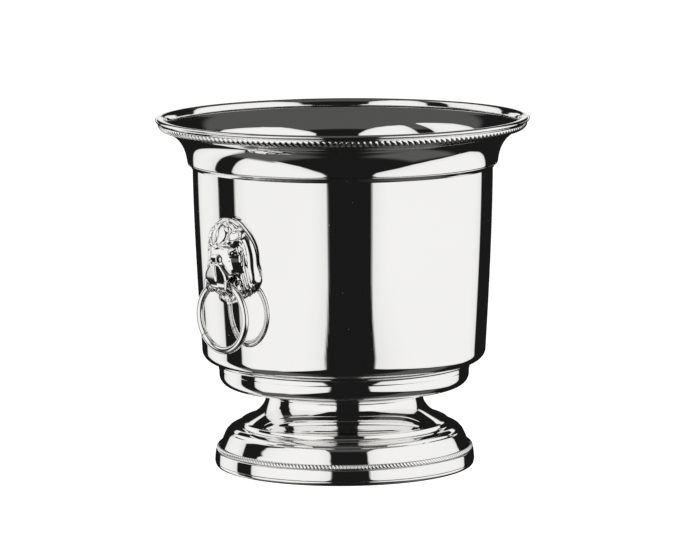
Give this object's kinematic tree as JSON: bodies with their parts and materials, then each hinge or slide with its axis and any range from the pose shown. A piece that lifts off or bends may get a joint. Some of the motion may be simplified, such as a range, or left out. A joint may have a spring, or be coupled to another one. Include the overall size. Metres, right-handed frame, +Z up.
{
  "type": "champagne bucket",
  "caption": "Campana-shaped champagne bucket on a round pedestal foot, with a flared rope-edged rim and lion-mask drop ring handles.",
  "frame": {"origin": "centre of the base, on the surface that the bucket stands on", "axes": "+Z up along the bucket's axis, the two lion masks on -X and +X"},
  "size_m": [0.22, 0.22, 0.2068],
  "materials": {
    "bucket_drum": "mirror-polished silver plate",
    "lower_bowl": "mirror-polished silver plate",
    "flared_collar": "mirror-polished silver plate",
    "collar_fillet_wire": "polished silver plate",
    "rim_wire": "polished silver plate",
    "rim_gadroon_border": "polished cast rope pattern, darker in the grooves",
    "neck_ring": "polished silver plate",
    "pedestal_foot": "mirror-polished silver plate",
    "foot_bead_border": "polished fine rope pattern, darker in the grooves",
    "foot_plinth_band": "mirror-polished silver plate",
    "foot_edge_wire": "polished silver plate",
    "lion_mask_left": "polished silver plated casting, darker in the recesses",
    "lion_mask_right": "polished silver plated casting, darker in the recesses",
    "drop_ring_left": "polished silver plated wire",
    "drop_ring_right": "polished silver plated wire",
    "fixings": "plain turned steel"
  },
  "bodies": {
    "bucket": {"bucket_drum": "bucket_drum", "lower_bowl": "lower_bowl", "flared_collar": "flared_collar", "collar_fillet_wire": "collar_fillet_wire", "rim_wire": "rim_wire", "rim_gadroon_border": "rim_gadroon_border", "neck_ring": "neck_ring", "pedestal_foot": "pedestal_foot", "foot_bead_border": "foot_bead_border", "foot_plinth_band": "foot_plinth_band", "foot_edge_wire": "foot_edge_wire", "lion_mask_left": "lion_mask_left", "lion_mask_right": "lion_mask_right", "mask_screw_left_upper": "fixings", "mask_washer_left_upper": "fixings", "mask_screw_left_lower": "fixings", "mask_washer_left_lower": "fixings", "mask_screw_right_upper": "fixings", "mask_washer_right_upper": "fixings", "mask_screw_right_lower": "fixings", "mask_washer_right_lower": "fixings"},
    "ring_left": {"drop_ring_left": "drop_ring_left"},
    "ring_right": {"drop_ring_right": "drop_ring_right"}
  },
  "joints": [
    {"name": "left_ring_swing", "type": "hinge", "parent": "bucket", "child": "ring_left", "pos_m": [-0.0956, 0, 0.11735], "axis": [0, 1, 0], "range_deg": [-12, 150]},
    {"name": "right_ring_swing", "type": "hinge", "parent": "bucket", "child": "ring_right", "pos_m": [0.0956, 0, 0.11735], "axis": [0, -1, 0], "range_deg": [-12, 150]}
  ]
}
